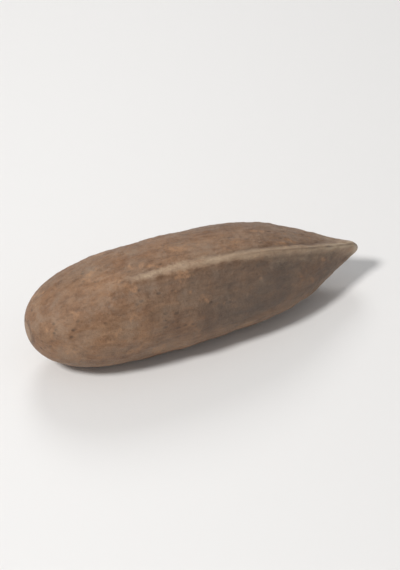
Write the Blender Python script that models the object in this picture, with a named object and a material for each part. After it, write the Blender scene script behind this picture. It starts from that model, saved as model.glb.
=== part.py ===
"""A pine nut in its closed shell, lying down.

The nut is long and slim. Its round end is at -X and its pointed tip at +X.
It has two seam ridges, opposite each other, which meet over the blunt end of
the tip. The nut lies rolled, so one seam is high at the front and the other
low behind, and a softer ridge runs between them over the back. The underside
has a small flat spot that the nut rests on. Sizes are in metres and +Z is up.
The origin is at the middle of the underside.
"""

import math

import bmesh
import bpy
from mathutils import Vector, noise

mm = 0.001

# Driving sizes
nut_length = 20.4 * mm      # from the round end to the tip
nut_width = 6.5 * mm        # from seam to seam, at the widest place
nut_height = 6.35 * mm      # across the seams

# Outline along the nut, where 0 is the round end and 1 is the tip
widest_at = 0.31
round_end_power = 2.25      # 2 rounds the end like a ball, and more makes it blunter
tip_reach = 3.8             # more keeps the shell full for longer before the tip
tip_taper = 1.3             # 1 ends in a straight-sided point, and more in a hollow-sided one
nub_start = 0.93            # where the blunt end of the tip begins
nub_fades_in = (0.68, 0.93) # a pair like this is where along the nut a change begins and ends
nub_half_width = 0.74 * mm
nub_half_height = 0.55 * mm
nub_blending = 3            # more makes a clearer corner where the outline meets the nub

# How the nut's middle line bends
arch = 0.2 * mm             # how far the middle of the nut is raised over its two ends
tip_droop = 1.0 * mm        # how much further the tip is lowered
droop_start = 0.33
droop_power = 2.0
tip_lift = 0.3 * mm         # the blunt end turns up again by this much
lift_grows = (0.8, 1.0)
side_bend = 0.30 * mm       # the tip and the round end lean to +Y by this much
roll = math.radians(-60)    # the seam at -Y is raised, and the one at +Y is lowered
twist = math.radians(10)    # the seams turn this far from end to end

# Ridges
edge_sharpness = 0.6        # how far the cross-section narrows to the seams at the tip
edge_grows = (0.2, 0.9)
seam_height = 0.18 * mm
seam_half_width = 0.34 * mm
seam_at_round_end = 0.3     # the seams' height at the round end, as a share of that at the tip
seam_rises = (0.05, 0.3)
seam_grows = (0.2, 0.7)
seam_fades = (0.97, 1.0)
back_ridge_height = 0.24 * mm
back_ridge_angle = math.radians(84)     # from the seam at +Y
back_ridge_spread = math.radians(19)
back_ridge_rises = (0.3, 0.65)
back_ridge_fades = (0.72, 0.94)

# Slow swellings and dents over the whole shell
dent_depth = 0.09 * mm
dent_size = 3.4 * mm

# Where the nut rests
flat_depth = 0.2 * mm       # how much the underside is flattened
cut_accuracy = 0.0001 * mm

# Faces
points_around = 54
rings_along = 56
seam_gathering = 0.33       # brings the points round each ring closer to the seams


def smooth_step(span, value):
    """0 below the span, 1 above it, and a smooth rise inside it."""
    low, high = span
    share = min(max((value - low) / (high - low), 0.0), 1.0)
    return share * share * (3 - 2 * share)


def outline(along):
    """The shell's half-thickness along the nut, as a share of its largest."""
    if along < widest_at:
        short = 1 - along / widest_at
        return max(1 - short**round_end_power, 0.0) ** (1 / round_end_power)
    reach = (along - widest_at) / (1 - widest_at)
    return max(1 - reach**tip_reach, 0.0) ** tip_taper


def nub(along):
    """The blunt end of the tip, as a share of its own half-thickness."""
    if along < nub_start:
        return smooth_step(nub_fades_in, along)
    reach = (along - nub_start) / (1 - nub_start)
    return math.sqrt(max(1 - reach * reach, 0.0))


def half_size(along, largest, nub_size):
    """The outline with the blunt tip worked into it."""
    body = (largest * outline(along)) ** nub_blending
    blunt_end = (nub_size * nub(along)) ** nub_blending
    return (body + blunt_end) ** (1 / nub_blending)


def middle_line(along):
    """How far the middle of the shell is moved from a straight axis."""
    fall = max((along - droop_start) / (1 - droop_start), 0.0) ** droop_power
    lift = arch * math.sin(math.pi * along) + tip_lift * smooth_step(lift_grows, along)
    lean = (2 * along - 1) ** 2
    return Vector((0, side_bend * lean, lift - tip_droop * fall))


def seam_ridge(along, height_over_seam):
    """The raised line of a seam: faint at the round end and full at the tip."""
    growth = seam_at_round_end + (1 - seam_at_round_end) * smooth_step(seam_grows, along)
    fade = smooth_step(seam_rises, along) * (1 - smooth_step(seam_fades, along))
    across = height_over_seam / seam_half_width
    return seam_height * growth * fade * math.exp(-across * across)


def back_ridge(along, angle):
    """The soft ridge along the back, which runs out on the round end."""
    fade = smooth_step(back_ridge_rises, along) * (1 - smooth_step(back_ridge_fades, along))
    across = (angle - back_ridge_angle) / back_ridge_spread
    return back_ridge_height * fade * math.exp(-across * across)


def shell_point(along, angle):
    """A point of the shell. Angle 0 is the seam at +Y, and a quarter turn on is the back."""
    half_width = half_size(along, nut_width / 2, nub_half_width)
    half_height = half_size(along, nut_height / 2, nub_half_height)
    side = math.cos(angle)
    rise = math.sin(angle)
    narrowing = 1 + edge_sharpness * smooth_step(edge_grows, along)
    y = half_width * side
    z = half_height * math.copysign(abs(rise) ** narrowing, rise)
    ridge = seam_ridge(along, z) * abs(side) + back_ridge(along, angle)
    y += ridge * side
    z += ridge * rise
    swelling = dent_depth * noise.noise(Vector((along * nut_length, y, z)) / dent_size)
    fullness = math.sin(math.pi * along)
    y += swelling * side * fullness
    z += swelling * rise * fullness
    turn = roll + twist * (along - 0.5)
    bent = Vector(
        (
            nut_length * (along - 0.5),
            y * math.cos(turn) - z * math.sin(turn),
            y * math.sin(turn) + z * math.cos(turn),
        )
    )
    return bent + middle_line(along)


def shape_shell(shell):
    """Turns a ball whose poles are on Z into the nut, whose ends are on X."""
    for vertex in shell.verts:
        ball = vertex.co.normalized()
        angle = math.atan2(ball.y, ball.x)
        angle -= seam_gathering * math.sin(2 * angle)
        vertex.co = shell_point((1 + ball.z) / 2, angle)


def flatten_underside(shell):
    """Cuts a small flat spot under the nut, which is what it rests on."""
    lowest = min(vertex.co.z for vertex in shell.verts)
    cut = bmesh.ops.bisect_plane(
        shell,
        geom=shell.verts[:] + shell.edges[:] + shell.faces[:],
        dist=cut_accuracy,
        plane_co=(0, 0, lowest + flat_depth),
        plane_no=(0, 0, -1),
        clear_outer=True,
    )
    rim = [piece for piece in cut["geom_cut"] if isinstance(piece, bmesh.types.BMEdge)]
    bmesh.ops.holes_fill(shell, edges=rim, sides=0)


def set_on_origin(shell):
    """Moves the nut so that the origin is at the middle of its underside."""
    corners = [vertex.co for vertex in shell.verts]
    low = Vector([min(point[axis] for point in corners) for axis in range(3)])
    high = Vector([max(point[axis] for point in corners) for axis in range(3)])
    middle = (low + high) / 2
    bmesh.ops.translate(shell, verts=shell.verts, vec=(-middle.x, -middle.y, -low.z))


def shell_material():
    """The dry brown woody shell."""
    material = bpy.data.materials.new("brown_shell")
    material.use_nodes = True
    surface = material.node_tree.nodes["Principled BSDF"]
    surface.inputs["Base Color"].default_value = (0.25, 0.155, 0.098, 1)
    surface.inputs["Roughness"].default_value = 0.6
    surface.inputs["Metallic"].default_value = 0.0
    return material


def make_nut(collection):
    shell = bmesh.new()
    bmesh.ops.create_uvsphere(
        shell, u_segments=points_around, v_segments=rings_along, radius=1
    )
    shape_shell(shell)
    flatten_underside(shell)
    set_on_origin(shell)
    bmesh.ops.recalc_face_normals(shell, faces=shell.faces)
    mesh = bpy.data.meshes.new("pine_nut")
    shell.to_mesh(mesh)
    shell.free()
    mesh.shade_smooth()
    mesh.set_sharp_from_angle(angle=math.radians(40))
    mesh.materials.append(shell_material())
    nut = bpy.data.objects.new("pine_nut", mesh)
    collection.objects.link(nut)
    return nut


for leftover in list(bpy.data.objects):
    bpy.data.objects.remove(leftover)
nut_collection = bpy.data.collections.new("pine_nut_in_shell")
bpy.context.scene.collection.children.link(nut_collection)
make_nut(nut_collection)
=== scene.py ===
import math

import bmesh
import bpy
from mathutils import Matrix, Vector, noise


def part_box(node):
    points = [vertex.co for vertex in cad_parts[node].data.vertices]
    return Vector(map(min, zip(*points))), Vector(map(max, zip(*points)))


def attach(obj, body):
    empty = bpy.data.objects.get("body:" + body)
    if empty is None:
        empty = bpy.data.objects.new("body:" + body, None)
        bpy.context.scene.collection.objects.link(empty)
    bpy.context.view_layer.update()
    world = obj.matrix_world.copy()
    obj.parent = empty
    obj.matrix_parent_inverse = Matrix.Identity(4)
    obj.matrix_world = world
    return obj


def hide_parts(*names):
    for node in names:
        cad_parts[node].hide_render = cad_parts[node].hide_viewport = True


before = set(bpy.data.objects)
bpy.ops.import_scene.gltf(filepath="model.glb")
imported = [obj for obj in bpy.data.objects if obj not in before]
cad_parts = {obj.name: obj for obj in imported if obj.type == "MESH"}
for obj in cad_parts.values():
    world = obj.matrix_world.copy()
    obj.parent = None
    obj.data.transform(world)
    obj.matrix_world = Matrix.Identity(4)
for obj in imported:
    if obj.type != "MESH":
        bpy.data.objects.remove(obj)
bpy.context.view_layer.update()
print("frame loaded with", ", ".join(sorted(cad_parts)))

mm = 0.001

# The nut lies along X, round end at -X and tip at +X. Lengths are in metres.
# A pair such as (0.3, 0.95) is where along the nut a change begins and ends,
# with 0 at the round end and 1 at the tip.
nutShape = {
    # the form, as in the solid nut
    "length": 20.4 * mm,
    "width": 6.5 * mm,              # from seam to seam
    "height": 6.35 * mm,            # across the seams
    "widestAt": 0.31,
    "roundEndPower": 2.25,          # 2 rounds the end like a ball
    "tipReach": 3.8,                # more keeps the shell full for longer
    "tipTaper": 1.3,                # 1 ends in a straight-sided point
    "nubStart": 0.93,               # the blunt end of the tip
    "nubFadesIn": (0.68, 0.93),
    "nubHalfWidth": 0.74 * mm,
    "nubHalfHeight": 0.55 * mm,
    "nubBlending": 3,
    "arch": 0.2 * mm,               # the middle is raised over the two ends
    "tipDroop": 1.0 * mm,
    "droopStart": 0.33,
    "droopPower": 2.0,
    "tipLift": 0.3 * mm,            # the blunt end turns up again
    "liftGrows": (0.8, 1.0),
    "sideBend": 0.30 * mm,
    "roll": math.radians(-60),      # the near seam is raised
    "twist": math.radians(10),
    "edgeSharpness": 0.6,           # the section narrows to the seams at the tip
    "edgeGrows": (0.2, 0.9),
    "seamHeight": 0.18 * mm,
    "seamHalfWidth": 0.34 * mm,
    "seamAtRoundEnd": 0.3,
    "seamRises": (0.05, 0.3),
    "seamGrows": (0.2, 0.7),
    "seamFades": (0.97, 1.0),
    "backRidgeHeight": 0.24 * mm,
    "backRidgeAngle": math.radians(84),
    "backRidgeSpread": math.radians(19),
    "backRidgeRises": (0.3, 0.65),
    "backRidgeFades": (0.72, 0.94),
    "dentDepth": 0.09 * mm,
    "dentSize": 3.4 * mm,
    "flatDepth": 0.2 * mm,          # the small flat spot that it rests on
    "cutAccuracy": 0.0001 * mm,

    # the mesh
    "pointsAround": 260,
    "ringsAlong": 368,
    "seamGathering": 0.33,          # brings the points round a ring closer to the seams

    # hollows, wrinkles and grain, which grow shallower towards the two ends
    "hollowDepth": 0.072 * mm,
    "hollowSize": 1.55 * mm,
    "hollowShift": (3.1, 7.7, 1.9), # a shift moves a pattern, so that no two are alike
    "wrinkleDepth": 0.052 * mm,     # lengthwise, and deeper towards the tip
    "wrinkleLength": 2.4 * mm,
    "wrinkleWidth": 0.42 * mm,
    "wrinkleShare": (0.6, 1.5),     # at the round end and at the tip
    "wrinkleDeepens": (0.35, 0.95),
    "wrinklesFiner": 2.1,           # a finer layer of wrinkles lies over the first
    "grainDepth": 0.032 * mm,
    "grainSize": 0.34 * mm,
    "grainFiner": 2.3,
    "finerShare": 0.5,              # how deep a finer layer is beside the first
    "endFading": 0.5,               # more makes the relief fade further from the ends

    # pits, which are cells of a random pattern, and patches where the skin has rubbed off
    "pitDepth": 0.024 * mm,
    "pitSpacing": 1.15 * mm,
    "pitRadius": 0.22,              # as a share of the spacing
    "cellsWithNoPit": 0.62,
    "pitShuffle": 7.3,              # another value gives the pits to other cells
    "scuffDepth": 0.010 * mm,
    "scuffSize": 0.85 * mm,
    "scuffStretch": 0.6,            # below 1 draws the patches out along the nut
    "scuffShift": (9.0, 2.0, 5.0),
    "scuffEdge": 0.23 * mm,         # how fine the ragged edge of a patch is
    "scuffEdgeShare": 0.35,
    "scuffLevel": (0.40, 0.68),

    # the seams: a crisp crest, a shallow groove each side and the thin line where the halves meet
    "seamSide": (0.2, 0.7),         # how squarely a point has to lie to the side to count as seam
    "crestHeight": 0.045 * mm,
    "crestHalfWidth": 0.10 * mm,
    "crestGrows": (0.2, 0.6),
    "nickLength": 0.55 * mm,
    "nickShift": 4.0,
    "nickLevel": 0.75,
    "nickDepth": 0.5,
    "grooveDepth": 0.026 * mm,
    "grooveGrows": (0.2, 0.8),
    "grooveFades": (0.86, 0.95),
    "grooveFromSeam": 0.36 * mm,
    "grooveHalfWidth": 0.14 * mm,
    "splitDepth": 0.030 * mm,
    "splitHalfWidth": 0.040 * mm,
    "splitGrows": (0.45, 0.85),

    # where the finish changes
    "dustLevel": 0.5,               # how much of the dust lies on level skin
    "dustInHollows": 0.9,
    "dustInWrinkles": 0.5,
    "dustInPits": 0.5,
    "lowerShadeSide": (0.1, -0.5),   # painted shade on the face under the near seam
    "lowerShadeFades": (0.0, 0.65 * mm),
    "lowerShadeGrows": (0.15, 0.66),
    "highlightAboveSeam": (0.14 * mm, -0.14 * mm),   # in the middle of the nut and at the tip
    "highlightHalfWidth": (0.30 * mm, 0.46 * mm),
    "highlightDrops": (0.50, 0.75),
    "backHighlightSpread": math.radians(12),
    "backHighlightShare": 0.6,
    "highlightGrows": (0.12, 0.45),
    "tipHazeGrows": (0.80, 1.0),
    "tipHazeShare": 0.8,
    "hazeLostBelow": 0.5,           # the lower face has this much less of it
    "rimHalfWidth": 0.13 * mm,      # the pale edge round the tip
    "rimGrows": (0.70, 0.97),
    "rimFray": 0.45 * mm,
    "rimFrayShare": 0.8,
    "tipPale": (0.940, 0.990),
    "tipFray": 0.0144,

    # the small marks at the two ends
    "dimpleDepth": 0.05 * mm,
    "dimpleRadius": 0.16 * mm,
    "scarDepth": 0.035 * mm,
    "scarRadius": 0.62 * mm,
}


def clamp(value):
    return min(max(value, 0.0), 1.0)


def smoothStep(span, value):
    low, high = span
    share = clamp((value - low) / (high - low))
    return share * share * (3 - 2 * share)


def blend(pair, share):
    return pair[0] + (pair[1] - pair[0]) * share


def bell(distance, halfWidth):
    across = distance / halfWidth
    return math.exp(-across * across)


# A round hollow, 1 in its middle and 0 from its radius on.
def bowl(distance, radius):
    share = min(distance / radius, 1.0)
    return (1 - share * share) ** 2


def layeredNoise(point, finer):
    return noise.noise(point) + nutShape["finerShare"] * noise.noise(point * finer)


# The shell's half-thickness along the nut, as a share of its largest.
def outlineAt(along):
    shape = nutShape
    if along < shape["widestAt"]:
        short = 1 - along / shape["widestAt"]
        return max(1 - short ** shape["roundEndPower"], 0.0) ** (1 / shape["roundEndPower"])
    reach = (along - shape["widestAt"]) / (1 - shape["widestAt"])
    return max(1 - reach ** shape["tipReach"], 0.0) ** shape["tipTaper"]


def nubAt(along):
    start = nutShape["nubStart"]
    if along < start:
        return smoothStep(nutShape["nubFadesIn"], along)
    reach = (along - start) / (1 - start)
    return math.sqrt(max(1 - reach * reach, 0.0))


def halfSize(along, largest, nubSize):
    power = nutShape["nubBlending"]
    body = (largest * outlineAt(along)) ** power
    bluntEnd = (nubSize * nubAt(along)) ** power
    return (body + bluntEnd) ** (1 / power)


# How far the middle of the shell is moved from a straight axis.
def middleLine(along):
    shape = nutShape
    fall = max((along - shape["droopStart"]) / (1 - shape["droopStart"]), 0.0) ** shape["droopPower"]
    lift = shape["arch"] * math.sin(math.pi * along)
    lift += shape["tipLift"] * smoothStep(shape["liftGrows"], along)
    lean = (2 * along - 1) ** 2
    return Vector((0, shape["sideBend"] * lean, lift - shape["tipDroop"] * fall))


def seamRidge(along, overSeam):
    shape = nutShape
    growth = blend((shape["seamAtRoundEnd"], 1), smoothStep(shape["seamGrows"], along))
    fade = smoothStep(shape["seamRises"], along) * (1 - smoothStep(shape["seamFades"], along))
    return shape["seamHeight"] * growth * fade * bell(overSeam, shape["seamHalfWidth"])


def backRidge(along, angle):
    shape = nutShape
    rises = smoothStep(shape["backRidgeRises"], along)
    fades = 1 - smoothStep(shape["backRidgeFades"], along)
    across = bell(angle - shape["backRidgeAngle"], shape["backRidgeSpread"])
    return shape["backRidgeHeight"] * rises * fades * across


def pitAt(place):
    distances, centres = noise.voronoi(place / nutShape["pitSpacing"])
    if noise.cell(centres[0] * nutShape["pitShuffle"]) < nutShape["cellsWithNoPit"]:
        return 0.0
    return bowl(distances[0], nutShape["pitRadius"])


def scuffAt(place):
    shape = nutShape
    drawnOut = Vector((place.x * shape["scuffStretch"], place.y, place.z))
    flake = noise.noise(drawnOut / shape["scuffSize"] + Vector(shape["scuffShift"]))
    flake += shape["scuffEdgeShare"] * noise.noise(place / shape["scuffEdge"])
    return smoothStep(shape["scuffLevel"], flake)


# The relief of the seams, and the marks that their finish reads.
def seamReliefAt(place, along, overSeam, sideways):
    shape = nutShape
    atSeam = smoothStep(shape["seamSide"], abs(sideways))
    nickPoint = Vector((place.x / shape["nickLength"], shape["nickShift"], abs(sideways)))
    nicks = shape["nickLevel"] + shape["nickDepth"] * noise.noise(nickPoint)
    crest = atSeam * bell(overSeam, shape["crestHalfWidth"])
    crest *= smoothStep(shape["crestGrows"], along) * (1 - smoothStep(shape["seamFades"], along))
    groove = atSeam * bell(abs(overSeam) - shape["grooveFromSeam"], shape["grooveHalfWidth"])
    groove *= smoothStep(shape["grooveGrows"], along) * (1 - smoothStep(shape["grooveFades"], along))
    split = atSeam * bell(overSeam, shape["splitHalfWidth"])
    split *= smoothStep(shape["splitGrows"], along) * nicks
    fray = noise.noise(place / shape["rimFray"])
    rim = atSeam * bell(overSeam, shape["rimHalfWidth"] * (1 + shape["rimFrayShare"] * fray))
    rim *= smoothStep(shape["rimGrows"], along)
    pale = max(rim, smoothStep(shape["tipPale"], along + shape["tipFray"] * fray))
    height = shape["crestHeight"] * crest * nicks
    height -= shape["grooveDepth"] * groove + shape["splitDepth"] * split
    return height, {"pale": pale, "crest": crest, "groove": groove, "split": split}


# Where the shell is painted paler: a painted highlight along the near seam and on the back, and a paler
# tip, fainter on the painted-shade lower face.
def highlightAndPaleTipAt(along, angle, overSeam, sideways, lowerFaceShade):
    shape = nutShape
    drop = smoothStep(shape["highlightDrops"], along)
    seam = bell(overSeam - blend(shape["highlightAboveSeam"], drop), blend(shape["highlightHalfWidth"], drop))
    seam *= smoothStep(shape["seamSide"], -sideways)
    back = shape["backHighlightShare"] * bell(angle - shape["backRidgeAngle"], shape["backHighlightSpread"])
    haze = shape["tipHazeShare"] * smoothStep(shape["tipHazeGrows"], along)
    haze *= 1 - shape["hazeLostBelow"] * lowerFaceShade
    return max(max(seam, back) * smoothStep(shape["highlightGrows"], along), haze)


# The relief at a point of the plain form, and the marks that the finish reads.
def reliefAt(place, along, angle, overSeam, sideways):
    shape = nutShape
    hollow = noise.noise(place / shape["hollowSize"] + Vector(shape["hollowShift"]))
    width = shape["wrinkleWidth"]
    drawnOut = Vector((place.x / shape["wrinkleLength"], place.y / width, place.z / width))
    wrinkle = layeredNoise(drawnOut, shape["wrinklesFiner"])
    wrinkleShare = blend(shape["wrinkleShare"], smoothStep(shape["wrinkleDeepens"], along))
    grain = layeredNoise(place / shape["grainSize"], shape["grainFiner"])
    pit = pitAt(place)
    scuff = scuffAt(place)
    height = shape["hollowDepth"] * hollow + shape["wrinkleDepth"] * wrinkle * wrinkleShare
    height += shape["grainDepth"] * grain - shape["pitDepth"] * pit - shape["scuffDepth"] * scuff
    height *= math.sin(math.pi * along) ** shape["endFading"]
    seamHeight, marks = seamReliefAt(place, along, overSeam, sideways)
    dust = shape["dustLevel"] - shape["dustInHollows"] * hollow
    dust += shape["dustInPits"] * pit - shape["dustInWrinkles"] * wrinkle
    # Painted shade: the face under the near seam is marked here to be darkened.
    lowerFaceShade = smoothStep(shape["lowerShadeSide"], sideways)
    lowerFaceShade *= smoothStep(shape["lowerShadeFades"], -overSeam)
    lowerFaceShade *= smoothStep(shape["lowerShadeGrows"], along)
    marks["scuff"] = scuff
    marks["pit"] = pit
    marks["hollow"] = clamp(dust)
    marks["lowerShade"] = lowerFaceShade
    # A painted highlight along the near seam and the back, with the paler tip.
    marks["highlightAndPaleTip"] = highlightAndPaleTipAt(along, angle, overSeam, sideways, lowerFaceShade)
    return height + seamHeight, marks


# Angle 0 is the far seam, and a quarter turn on is the back.
def shellPoint(along, angle):
    shape = nutShape
    halfWidth = halfSize(along, shape["width"] / 2, shape["nubHalfWidth"])
    halfHeight = halfSize(along, shape["height"] / 2, shape["nubHalfHeight"])
    side = math.cos(angle)
    rise = math.sin(angle)
    narrowing = 1 + shape["edgeSharpness"] * smoothStep(shape["edgeGrows"], along)
    y = halfWidth * side
    overSeam = halfHeight * math.copysign(abs(rise) ** narrowing, rise)
    ridge = seamRidge(along, overSeam) * abs(side) + backRidge(along, angle)
    y += ridge * side
    z = overSeam + ridge * rise
    place = Vector((shape["length"] * along, y, z))
    swelling = shape["dentDepth"] * noise.noise(place / shape["dentSize"])
    relief, marks = reliefAt(place, along, angle, overSeam, side)
    relief += swelling * math.sin(math.pi * along)
    y += relief * side
    z += relief * rise
    turn = shape["roll"] + shape["twist"] * (along - 0.5)
    bent = Vector(
        (
            shape["length"] * (along - 0.5),
            y * math.cos(turn) - z * math.sin(turn),
            y * math.sin(turn) + z * math.cos(turn),
        )
    )
    return bent + middleLine(along), marks


# Presses a small round mark into an end of the shell, and notes how many
# millimetres each point lies from its middle.
def pressMark(shell, centre, radius, depth, inward, distanceLayer):
    for vertex in shell.verts:
        away = (vertex.co - centre).length
        vertex[distanceLayer] = away / mm
        vertex.co += inward * depth * bowl(away, radius)


def flattenUnderside(shell):
    lowest = min(vertex.co.z for vertex in shell.verts)
    cut = bmesh.ops.bisect_plane(
        shell,
        geom=shell.verts[:] + shell.edges[:] + shell.faces[:],
        dist=nutShape["cutAccuracy"],
        plane_co=(0, 0, lowest + nutShape["flatDepth"]),
        plane_no=(0, 0, -1),
        clear_outer=True,
    )
    rim = [piece for piece in cut["geom_cut"] if isinstance(piece, bmesh.types.BMEdge)]
    bmesh.ops.holes_fill(shell, edges=rim, sides=0)


# Moves the shell to where the solid nut is.
def placeInBox(shell, box):
    low = Vector([min(vertex.co[axis] for vertex in shell.verts) for axis in range(3)])
    high = Vector([max(vertex.co[axis] for vertex in shell.verts) for axis in range(3)])
    shift = (box[0] + box[1]) / 2 - (low + high) / 2
    shift.z = box[0].z - low.z
    bmesh.ops.translate(shell, verts=shell.verts, vec=shift)


def makeShell():
    shape = nutShape
    shell = bmesh.new()
    bmesh.ops.create_uvsphere(
        shell, u_segments=shape["pointsAround"], v_segments=shape["ringsAlong"], radius=1
    )
    names = ("along", "pale", "crest", "groove", "split", "scuff", "pit", "hollow", "lowerShade", "highlightAndPaleTip")
    names += ("fromTip", "fromRoundEnd")
    layers = {name: shell.verts.layers.float.new(name) for name in names}
    for vertex in shell.verts:
        ball = vertex.co.normalized()
        angle = math.atan2(ball.y, ball.x)
        angle -= shape["seamGathering"] * math.sin(2 * angle)
        along = (1 + ball.z) / 2
        vertex.co, marks = shellPoint(along, angle)
        vertex[layers["along"]] = along
        for name, value in marks.items():
            vertex[layers[name]] = value
    tip = max(shell.verts, key=lambda vertex: vertex.co.x).co.copy()
    roundEnd = min(shell.verts, key=lambda vertex: vertex.co.x).co.copy()
    toTip = Vector((1, 0, 0))
    pressMark(shell, tip, shape["dimpleRadius"], shape["dimpleDepth"], -toTip, layers["fromTip"])
    pressMark(shell, roundEnd, shape["scarRadius"], shape["scarDepth"], toTip, layers["fromRoundEnd"])
    flattenUnderside(shell)
    placeInBox(shell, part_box("pine_nut"))
    bmesh.ops.recalc_face_normals(shell, faces=shell.faces)
    mesh = bpy.data.meshes.new("nutShell")
    shell.to_mesh(mesh)
    shell.free()
    mesh.shade_smooth()
    piece = bpy.data.objects.new("nutShell", mesh)
    bpy.context.scene.collection.objects.link(piece)
    return piece


# Colours are linear red, green and blue. Levels are the two values of a pattern
# or mark between which a layer grows, and a share is how much of it then shows.
shellFinish = {
    "woodTan": (0.356, 0.193, 0.101),       # the wood where the skin is thin
    "woodBrown": (0.250, 0.134, 0.072),
    "woodLevels": (0.40, 0.60),
    "skinGrey": (0.244, 0.163, 0.106),      # the outer skin
    "skinBrown": (0.188, 0.111, 0.066),
    "skinLevels": (0.36, 0.62),
    "coverLevels": (0.32, 0.60),
    "coverShare": (0.30, 0.70),
    "darkMottle": (0.56, 0.50, 0.46),       # darkens what is under it
    "darkMottleLevels": (0.54, 0.30),
    "darkMottleShare": (0.0, 0.66),
    "paleMottle": (0.112, 0.075, 0.048),    # is added to what is under it
    "paleMottleLevels": (0.52, 0.74),
    "paleMottleShare": (0.0, 0.50),
    "grainLevels": (0.50, 0.30),
    "grainShare": (0.0, 0.60),
    "fibreLevels": (0.54, 0.34),
    "fibreShare": (0.0, 0.34),
    "roundEndWarmth": (1.0, 0.925, 0.84),
    "warmthLevels": (0.65, 0.15),
    "fleck": (0.075, 0.042, 0.025),
    "fleckScale": 2.4,
    "fleckGroupLevels": (0.42, 0.60),
    "fleckLevels": (0.26, 0.10),
    "fleckShare": 0.72,
    "dust": (0.350, 0.268, 0.200),
    "dustLevels": (0.44, 0.74),
    "dustShare": (0.0, 0.46),
    "hollowLevels": (0.55, 1.0),
    "hollowShare": (0.0, 0.20),
    # painted shade, laid on the face under the near seam
    "lowerFaceShade": (0.098, 0.075, 0.060),
    "lowerShadeLevels": (0.34, 0.64),
    "lowerShadeShare": (0.40, 0.88),
    # painted highlight along the near seam and the back, and the paler tip
    "highlightAndPaleTip": (0.510, 0.382, 0.262),
    "highlightAndPaleTipLevels": (0.30, 0.66),
    "highlightAndPaleTipShare": (0.14, 0.92),
    "highlightAndPaleTipEdge": (0.10, 0.95),
    "highlightAndPaleTipGrain": (0.50, 1.0),
    "rubbed": (0.420, 0.232, 0.122),
    "rubbedLevels": (0.35, 0.65),
    "rubbedShare": (0.15, 0.72),
    "pitShare": 0.50,
    # painted shade in the shallow groove beside each seam
    "groove": (0.075, 0.045, 0.029),
    "grooveShadeShare": 0.45,
    # the seam crest painted lighter, as wear and as a painted highlight on the ridge
    "crest": (0.355, 0.258, 0.174),
    "crestWearAndHighlightShare": 0.50,
    "cream": (0.510, 0.396, 0.278),         # the pale edge round the tip
    "creamLevels": (0.12, 1.05),
    "creamShare": (0.0, 0.84),
    "split": (0.120, 0.075, 0.048),
    "splitShare": 0.70,
    "pore": (0.090, 0.055, 0.036),          # the tiny opening at the tip
    "poreLevels": (0.17, 0.07),
    "poreShare": (0.0, 0.85),
    "scar": (0.330, 0.225, 0.148),          # the pale spot at the round end
    "scarLevels": (0.62, 0.38),
    "scarShare": (0.0, 0.55),
    "scarRimWidens": (0.45, 0.62),
    "scarRimFades": (0.92, 0.66),
    "scarRimShare": (0.0, 0.45),
    "middleLevels": (0.3, 0.7),             # nearly the whole range of a noise
    "raggedness": (-0.22, 0.22),            # breaks up the edges of the worn and cream places
    "scarRaggedness": (-0.1, 0.1),
    "roughness": (0.36, 0.58),
    "roughnessOfDust": 0.30,
    "specular": 0.40,
    "bumpHeight": 0.046 * mm,
    "bumpStrength": 1.0,
    "bumpOf": {"mottle": 1.3, "grain": 1.0, "fibres": 0.5, "fine": 0.40},

    # What the patterns lie on. At 1000 it is in millimetres, so a noise with a scale of 2
    # repeats about twice in each. Less than 1000 draws it out along the nut.
    "ground": {
        "plain": {"scale": (1000, 1000, 1000)},
        "drawnOut": {"scale": (560, 1000, 1000), "offset": (4, 1, 7)},
        "fibrous": {"scale": (130, 1000, 1000)},
    },
    "noise": {
        "broad": ("plain", {"scale": 0.33, "detail": 3}),
        "patchy": ("drawnOut", {"scale": 0.70, "detail": 6, "roughness": 0.65}),
        "thin": ("drawnOut", {"scale": 0.45, "detail": 9, "roughness": 0.78}),
        "mottle": ("drawnOut", {"scale": 2.6, "detail": 6, "roughness": 0.70}),
        "grain": ("plain", {"scale": 7.5, "detail": 5, "roughness": 0.72}),
        "fibres": ("fibrous", {"scale": 4.5, "detail": 3, "roughness": 0.60, "distortion": 0.4}),
        "fleckGroups": ("plain", {"scale": 0.50, "detail": 2}),
        "dust": ("plain", {"scale": 0.80, "detail": 8, "roughness": 0.76}),
        "fine": ("plain", {"scale": 16.0, "detail": 4, "roughness": 0.65}),
    },
}


def addNode(tree, kind, **settings):
    node = tree.nodes.new(kind)
    for name, value in settings.items():
        setattr(node, name, value)
    return node


# Links a socket to another node's output, or sets it to a plain value.
def plug(tree, source, socket):
    if hasattr(source, "links"):
        tree.links.new(source, socket)
    else:
        socket.default_value = source


def scaledPoint(tree, source, scale, offset=(0, 0, 0)):
    node = addNode(tree, "ShaderNodeMapping")
    tree.links.new(source, node.inputs["Vector"])
    node.inputs["Scale"].default_value = scale
    node.inputs["Location"].default_value = offset
    return node.outputs["Vector"]


def noiseField(tree, point, scale, detail, roughness=0.55, distortion=0.0):
    node = addNode(tree, "ShaderNodeTexNoise")
    tree.links.new(point, node.inputs["Vector"])
    node.inputs["Scale"].default_value = scale
    node.inputs["Detail"].default_value = detail
    node.inputs["Roughness"].default_value = roughness
    node.inputs["Distortion"].default_value = distortion
    return node.outputs["Fac"]


def cellField(tree, point, scale):
    node = addNode(tree, "ShaderNodeTexVoronoi", feature="F1")
    tree.links.new(point, node.inputs["Vector"])
    node.inputs["Scale"].default_value = scale
    return node.outputs["Distance"]


def remap(tree, value, levels, share=(0.0, 1.0)):
    node = addNode(tree, "ShaderNodeMapRange", interpolation_type="SMOOTHSTEP")
    tree.links.new(value, node.inputs["Value"])
    node.inputs["From Min"].default_value = levels[0]
    node.inputs["From Max"].default_value = levels[1]
    node.inputs["To Min"].default_value = share[0]
    node.inputs["To Max"].default_value = share[1]
    return node.outputs["Result"]


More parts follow.
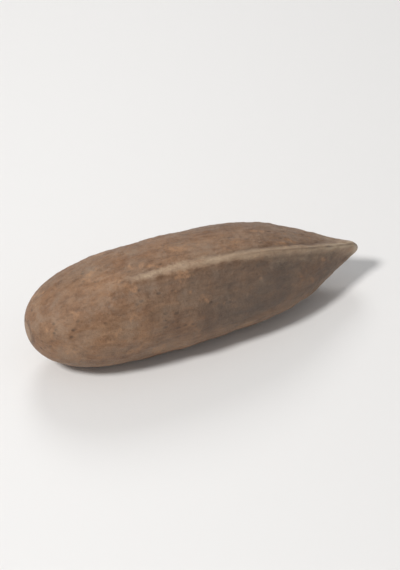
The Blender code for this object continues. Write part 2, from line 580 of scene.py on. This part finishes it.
def combine(tree, operation, first, second):
    node = addNode(tree, "ShaderNodeMath", operation=operation)
    plug(tree, first, node.inputs[0])
    plug(tree, second, node.inputs[1])
    return node.outputs["Value"]


def ramp(tree, value, levels, colors):
    node = addNode(tree, "ShaderNodeValToRGB")
    tree.links.new(value, node.inputs["Fac"])
    for element, position, color in zip(node.color_ramp.elements, levels, colors):
        element.position = position
        element.color = (*color, 1)
    return node.outputs["Color"]


def layer(tree, below, color, amount, mode="MIX"):
    node = addNode(tree, "ShaderNodeMix", data_type="RGBA", blend_type=mode)
    tree.links.new(below, node.inputs["A"])
    plug(tree, color if hasattr(color, "links") else (*color, 1), node.inputs["B"])
    plug(tree, amount, node.inputs["Factor"])
    return node.outputs["Result"]


def markOf(tree, name):
    return addNode(tree, "ShaderNodeAttribute", attribute_name=name).outputs["Fac"]


def markTimes(tree, name, amount):
    return combine(tree, "MULTIPLY", markOf(tree, name), amount)


def makeFields(tree):
    place = addNode(tree, "ShaderNodeTexCoord").outputs["Object"]
    grounds = shellFinish["ground"].items()
    points = {name: scaledPoint(tree, place, **settings) for name, settings in grounds}
    fields = {}
    for name, (ground, settings) in shellFinish["noise"].items():
        fields[name] = noiseField(tree, points[ground], **settings)
    fields["flecks"] = cellField(tree, points["drawnOut"], shellFinish["fleckScale"])
    return fields


# The wood, and the skin that covers most of it.
def woodAndSkin(tree, fields):
    finish = shellFinish
    wood = ramp(tree, fields["broad"], finish["woodLevels"], (finish["woodBrown"], finish["woodTan"]))
    skin = ramp(tree, fields["patchy"], finish["skinLevels"], (finish["skinBrown"], finish["skinGrey"]))
    cover = remap(tree, fields["thin"], finish["coverLevels"], finish["coverShare"])
    return layer(tree, wood, skin, cover)


# Mottling, grain, faint lengthwise fibres, the warmer round end and dark flecks in groups.
def mottling(tree, fields, color):
    finish = shellFinish
    dark = remap(tree, fields["mottle"], finish["darkMottleLevels"], finish["darkMottleShare"])
    color = layer(tree, color, finish["darkMottle"], dark, "MULTIPLY")
    pale = remap(tree, fields["mottle"], finish["paleMottleLevels"], finish["paleMottleShare"])
    color = layer(tree, color, finish["paleMottle"], pale, "ADD")
    dark = remap(tree, fields["grain"], finish["grainLevels"], finish["grainShare"])
    color = layer(tree, color, finish["darkMottle"], dark, "MULTIPLY")
    dark = remap(tree, fields["fibres"], finish["fibreLevels"], finish["fibreShare"])
    color = layer(tree, color, finish["darkMottle"], dark, "MULTIPLY")
    warmth = remap(tree, markOf(tree, "along"), finish["warmthLevels"])
    color = layer(tree, color, finish["roundEndWarmth"], warmth, "MULTIPLY")
    flecks = remap(tree, fields["flecks"], finish["fleckLevels"])
    groups = remap(tree, fields["fleckGroups"], finish["fleckGroupLevels"])
    flecks = combine(tree, "MULTIPLY", flecks, groups)
    flecks = combine(tree, "MULTIPLY", flecks, finish["fleckShare"])
    return layer(tree, color, finish["fleck"], flecks)


# Dust is thickest in the hollows.
def dustiness(tree, fields):
    finish = shellFinish
    overall = remap(tree, fields["dust"], finish["dustLevels"], finish["dustShare"])
    inHollows = remap(tree, markOf(tree, "hollow"), finish["hollowLevels"], finish["hollowShare"])
    return combine(tree, "ADD", overall, inHollows)


# Painted shade on the lower face, and a painted highlight along the near seam and the back, with the
# paler tip.
def lowerShadeHighlightAndPaleTip(tree, fields, color):
    finish = shellFinish
    lowerShade = remap(tree, fields["thin"], finish["lowerShadeLevels"], finish["lowerShadeShare"])
    color = layer(tree, color, finish["lowerFaceShade"], markTimes(tree, "lowerShade", lowerShade))
    ragged = remap(tree, fields["mottle"], finish["middleLevels"], finish["raggedness"])
    highlightAndPaleTip = combine(tree, "ADD", markOf(tree, "highlightAndPaleTip"), ragged)
    highlightAndPaleTip = remap(tree, highlightAndPaleTip, finish["highlightAndPaleTipEdge"])
    thinner = remap(tree, fields["thin"], finish["highlightAndPaleTipLevels"], finish["highlightAndPaleTipShare"])
    highlightAndPaleTip = combine(tree, "MULTIPLY", highlightAndPaleTip, thinner)
    grainy = remap(tree, fields["grain"], finish["middleLevels"], finish["highlightAndPaleTipGrain"])
    return layer(tree, color, finish["highlightAndPaleTip"], combine(tree, "MULTIPLY", highlightAndPaleTip, grainy))


# Rubbed patches, pits, and the scar at the round end with its dark rim.
def patchesAndScar(tree, fields, color):
    finish = shellFinish
    rubbed = remap(tree, fields["grain"], finish["rubbedLevels"], finish["rubbedShare"])
    color = layer(tree, color, finish["rubbed"], markTimes(tree, "scuff", rubbed))
    color = layer(tree, color, finish["fleck"], markTimes(tree, "pit", finish["pitShare"]))
    ragged = remap(tree, fields["mottle"], finish["middleLevels"], finish["scarRaggedness"])
    away = combine(tree, "ADD", markOf(tree, "fromRoundEnd"), ragged)
    scar = remap(tree, away, finish["scarLevels"], finish["scarShare"])
    color = layer(tree, color, finish["scar"], scar)
    inner = remap(tree, away, finish["scarRimWidens"])
    outer = remap(tree, away, finish["scarRimFades"], finish["scarRimShare"])
    return layer(tree, color, finish["fleck"], combine(tree, "MULTIPLY", inner, outer))


# The seams, the pale edge of the tip, the line where the halves meet and the pore.
def seamsAndTip(tree, fields, color):
    finish = shellFinish
    # Painted shade: the groove beside each seam is darkened.
    color = layer(tree, color, finish["groove"], markTimes(tree, "groove", finish["grooveShadeShare"]))
    # The seam crest is painted lighter, both as wear and as a painted highlight on the ridge.
    color = layer(tree, color, finish["crest"], markTimes(tree, "crest", finish["crestWearAndHighlightShare"]))
    ragged = remap(tree, fields["mottle"], finish["middleLevels"], finish["raggedness"])
    cream = combine(tree, "ADD", markOf(tree, "pale"), ragged)
    cream = remap(tree, cream, finish["creamLevels"], finish["creamShare"])
    color = layer(tree, color, finish["cream"], cream)
    color = layer(tree, color, finish["split"], markTimes(tree, "split", finish["splitShare"]))
    pore = remap(tree, markOf(tree, "fromTip"), finish["poreLevels"], finish["poreShare"])
    return layer(tree, color, finish["pore"], pore)


def bumpFrom(tree, fields):
    height = None
    for name, share in shellFinish["bumpOf"].items():
        part = combine(tree, "MULTIPLY", fields[name], share)
        height = combine(tree, "ADD", height, part) if height else part
    bump = addNode(tree, "ShaderNodeBump")
    bump.inputs["Strength"].default_value = shellFinish["bumpStrength"]
    bump.inputs["Distance"].default_value = shellFinish["bumpHeight"]
    tree.links.new(height, bump.inputs["Height"])
    return bump.outputs["Normal"]


def makeShellFinish():
    finish = shellFinish
    material = bpy.data.materials.new("brownWoodyShell")
    material.use_nodes = True
    tree = material.node_tree
    surface = tree.nodes["Principled BSDF"]
    fields = makeFields(tree)
    dusty = dustiness(tree, fields)
    color = mottling(tree, fields, woodAndSkin(tree, fields))
    color = layer(tree, color, finish["dust"], dusty)
    color = lowerShadeHighlightAndPaleTip(tree, fields, color)
    color = patchesAndScar(tree, fields, color)
    color = seamsAndTip(tree, fields, color)
    tree.links.new(color, surface.inputs["Base Color"])
    rough = remap(tree, fields["grain"], finish["middleLevels"], finish["roughness"])
    roughDust = combine(tree, "MULTIPLY", dusty, finish["roughnessOfDust"])
    tree.links.new(combine(tree, "ADD", rough, roughDust), surface.inputs["Roughness"])
    surface.inputs["Specular IOR Level"].default_value = finish["specular"]
    tree.links.new(bumpFrom(tree, fields), surface.inputs["Normal"])
    return material


nutShell = makeShell()
nutShell.data.materials.append(makeShellFinish())
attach(nutShell, "root")
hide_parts("pine_nut")
print("shell made,", len(nutShell.data.polygons), "faces")


# A pale floor, whose edge turns up into a low round wall far from the nut.
floorLook = {
    "flatRadius": 0.14,
    "turnRadius": 0.44,
    "wallHeight": 0.50,
    "turnSteps": 24,
    "sides": 96,
    "mergeWithin": 0.01 * mm,
    "color": (0.79, 0.785, 0.78),
    "roughness": 0.45,
    "specular": 0.30,
}


def makeFloor():
    look = floorLook
    ground = bmesh.new()
    chain = [ground.verts.new((0, 0, 0)), ground.verts.new((look["flatRadius"], 0, 0))]
    for step in range(1, look["turnSteps"] + 1):
        turn = math.radians(90) * step / look["turnSteps"]
        out = look["flatRadius"] + look["turnRadius"] * math.sin(turn)
        up = look["turnRadius"] * (1 - math.cos(turn))
        chain.append(ground.verts.new((out, 0, up)))
    chain.append(ground.verts.new((look["flatRadius"] + look["turnRadius"], 0, look["wallHeight"])))
    edges = [ground.edges.new(pair) for pair in zip(chain, chain[1:])]
    bmesh.ops.spin(
        ground, geom=chain + edges, cent=(0, 0, 0), axis=(0, 0, 1),
        angle=math.radians(360), steps=look["sides"], use_merge=True,
    )
    bmesh.ops.remove_doubles(ground, verts=ground.verts, dist=look["mergeWithin"])
    bmesh.ops.recalc_face_normals(ground, faces=ground.faces)
    mesh = bpy.data.meshes.new("floor")
    ground.to_mesh(mesh)
    ground.free()
    mesh.shade_smooth()
    floor = bpy.data.objects.new("floor", mesh)
    bpy.context.scene.collection.objects.link(floor)
    material = bpy.data.materials.new("palePaint")
    material.use_nodes = True
    surface = material.node_tree.nodes["Principled BSDF"]
    surface.inputs["Base Color"].default_value = (*look["color"], 1)
    surface.inputs["Roughness"].default_value = look["roughness"]
    surface.inputs["Specular IOR Level"].default_value = look["specular"]
    mesh.materials.append(material)
    return floor


makeFloor()
print("floor made")


# Angles are in degrees: turn is 0 in front of the nut and grows towards +X, and
# rise is above the floor. The lens is a long one, so the nut isn't drawn out.
view = {
    "turn": -24,
    "rise": 40,
    "distance": 98 * mm,
    "lens": 110,
    "aim": (0.0, 0.0, 2.9 * mm),
    "clipStart": 1 * mm,
    "clipEnd": 10,
}
lights = {
    "key": {
        "turn": -72, "rise": 50, "distance": 0.30,
        "size": 0.06, "power": 0.71, "color": (1.0, 0.985, 0.965),
    },
    "fill": {
        "turn": 50, "rise": 30, "distance": 0.30,
        "size": 0.20, "power": 0.03, "color": (0.97, 0.98, 1.0),
    },
    "rim": {
        "turn": 165, "rise": 42, "distance": 0.28,
        "size": 0.12, "power": 0.17, "color": (1.0, 1.0, 1.0),
    },
}
worldLight = {"color": (0.985, 0.99, 1.0), "strength": 0.35}


# Puts a camera or lamp where its settings say, facing what the camera aims at.
def placeAround(thing, settings):
    turn = math.radians(settings["turn"])
    rise = math.radians(settings["rise"])
    away = Vector((math.sin(turn) * math.cos(rise), -math.cos(turn) * math.cos(rise), math.sin(rise)))
    thing.location = Vector(view["aim"]) + away * settings["distance"]
    thing.rotation_euler = away.to_track_quat("Z", "Y").to_euler()
    bpy.context.scene.collection.objects.link(thing)


def makeCamera():
    data = bpy.data.cameras.new("camera")
    data.lens = view["lens"]
    data.clip_start = view["clipStart"]
    data.clip_end = view["clipEnd"]
    camera = bpy.data.objects.new("camera", data)
    placeAround(camera, view)
    bpy.context.scene.camera = camera


def makeLights():
    for name, light in lights.items():
        data = bpy.data.lights.new(name, "AREA")
        data.shape = "DISK"
        data.size = light["size"]
        data.energy = light["power"]
        data.color = light["color"]
        placeAround(bpy.data.objects.new(name, data), light)
    world = bpy.data.worlds.new("paleRoom")
    world.use_nodes = True
    background = world.node_tree.nodes["Background"]
    background.inputs["Color"].default_value = (*worldLight["color"], 1)
    background.inputs["Strength"].default_value = worldLight["strength"]
    bpy.context.scene.world = world


makeCamera()
makeLights()
bpy.context.scene.view_settings.view_transform = "Standard"
print("camera and lights placed")
